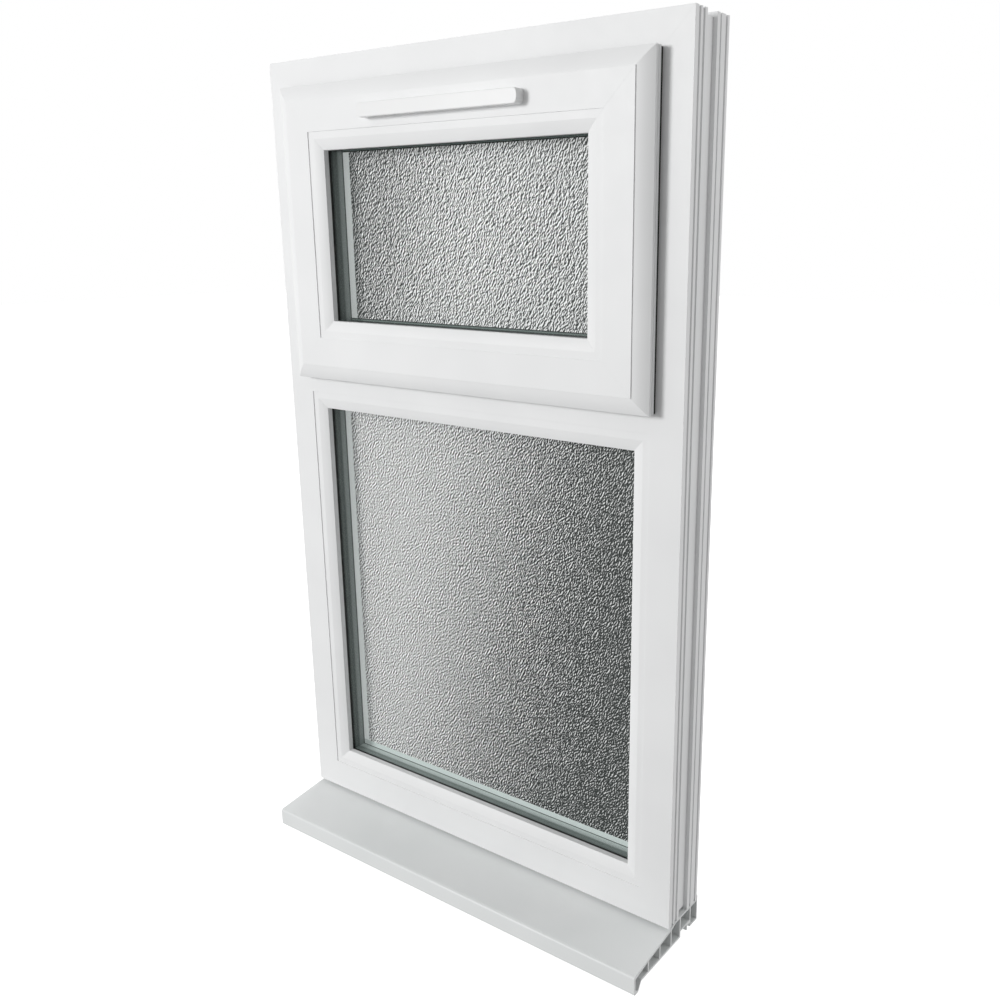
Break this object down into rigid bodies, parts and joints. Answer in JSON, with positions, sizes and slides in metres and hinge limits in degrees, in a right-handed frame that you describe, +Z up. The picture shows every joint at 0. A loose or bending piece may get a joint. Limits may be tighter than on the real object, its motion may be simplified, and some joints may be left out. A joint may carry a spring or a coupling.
{
  "type": "top-hung window",
  "caption": "White top-hung casement window: an obscure-glazed opening sash with a trickle vent canopy over a fixed light, in a mitred frame on a deep projecting cill.",
  "frame": {"origin": "on the underside of the cill, where it beds on the wall, below the outside face of the frame at mid width", "axes": "+X to the right seen from outside, +Y from outside to the room, +Z up; the outside face looks along -Y"},
  "size_m": [0.61, 0.1492, 1.0513],
  "materials": {
    "profile_white": "satin extruded white",
    "cill_white": "satin extruded white",
    "vent_white": "satin moulded white",
    "handle_white": "satin white paint on die casting",
    "clear_glass": "clear float, faint green edge",
    "obscure_glass": "patterned, obscure",
    "spacer_metal": "mill finish, perforated",
    "sealant": "black",
    "gasket_rubber": "black matt",
    "packer_plastic": "moulded",
    "stay_steel": "stainless, brushed",
    "lock_steel": "zinc plated",
    "slider_plastic": "nylon"
  },
  "bodies": {
    "frame": {"frame_head": "profile_white", "frame_bottom_rail": "profile_white", "frame_jamb_left": "profile_white", "frame_jamb_right": "profile_white", "transom": "profile_white", "cill": "cill_white", "fixed_bead_top": "profile_white", "fixed_bead_bottom": "profile_white", "fixed_bead_left": "profile_white", "fixed_bead_right": "profile_white", "fixed_outer_pane": "clear_glass", "fixed_spacer_bar": "spacer_metal", "fixed_edge_seal": "sealant", "fixed_inner_pane": "obscure_glass", "fixed_outer_gasket": "gasket_rubber", "fixed_inner_gasket": "gasket_rubber", "fixed_glazing_packers": "packer_plastic", "frame_seal": "gasket_rubber", "stay_track_left": "stay_steel", "stay_track_right": "stay_steel", "track_screws": "stay_steel", "lock_keeps": "lock_steel", "keep_screws": "stay_steel"},
    "short_arms": {"short_arm_left": "stay_steel", "short_arm_right": "stay_steel"},
    "long_arms": {"long_arm_left": "stay_steel", "long_arm_right": "stay_steel"},
    "sliders": {"slider_left": "slider_plastic", "slider_right": "slider_plastic"},
    "lock_rod": {"lock_rod": "lock_steel"},
    "handle": {"handle_lever": "handle_white"},
    "vent_flap": {"vent_flap": "vent_white"},
    "sash": {"sash_top_rail": "profile_white", "sash_bottom_rail": "profile_white", "sash_stile_left": "profile_white", "sash_stile_right": "profile_white", "sash_bead_top": "profile_white", "sash_bead_bottom": "profile_white", "sash_bead_left": "profile_white", "sash_bead_right": "profile_white", "sash_outer_pane": "clear_glass", "sash_spacer_bar": "spacer_metal", "sash_edge_seal": "sealant", "sash_inner_pane": "obscure_glass", "sash_outer_gasket": "gasket_rubber", "sash_inner_gasket": "gasket_rubber", "sash_glazing_packers": "packer_plastic", "sash_seal": "gasket_rubber", "vent_canopy": "vent_white", "vent_body": "vent_white", "vent_screws": "stay_steel", "sash_bar_left": "stay_steel", "sash_bar_right": "stay_steel", "bar_screws": "stay_steel", "lock_gear": "lock_steel", "handle_base": "handle_white", "handle_screws": "stay_steel"}
  },
  "joints": [
    {"name": "short_arm_swing", "type": "hinge", "parent": "frame", "child": "short_arms", "pos_m": [0, 0.024, 0.94223], "axis": [1, 0, 0], "range_deg": [0, 80.1]},
    {"name": "sash_swing", "type": "hinge", "parent": "short_arms", "child": "sash", "pos_m": [0, 0.024, 0.978], "axis": [-1, 0, 0], "range_deg": [0, 120]},
    {"name": "long_arm_swing", "type": "hinge", "parent": "sash", "child": "long_arms", "pos_m": [0, 0.024, 0.83932], "axis": [1, 0, 0], "range_deg": [0, 96.1]},
    {"name": "slider_turn", "type": "hinge", "parent": "long_arms", "child": "sliders", "pos_m": [0, 0.024, 0.68934], "axis": [-1, 0, 0], "range_deg": [0, 56.1]},
    {"name": "handle_turn", "type": "hinge", "parent": "sash", "child": "handle", "pos_m": [0, 0.042, 0.6926], "axis": [0, 1, 0], "range_deg": [0, 90]},
    {"name": "rod_slide", "type": "slide", "parent": "sash", "child": "lock_rod", "axis": [-1, 0, 0], "range_m": [0, 0.0201]},
    {"name": "vent_flap_tilt", "type": "hinge", "parent": "sash", "child": "vent_flap", "pos_m": [0, 0.0478, 0.9609], "axis": [-1, 0, 0], "range_deg": [0, 45]}
  ],
  "couplings": [
    {"joint": "short_arm_swing", "follows": "sash_swing", "ratio": 0.66667},
    {"joint": "long_arm_swing", "follows": "sash_swing", "ratio": 0.8},
    {"joint": "slider_turn", "follows": "sash_swing", "ratio": 0.46667},
    {"joint": "rod_slide", "follows": "handle_turn", "m_per_rad": 0.012732}
  ]
}
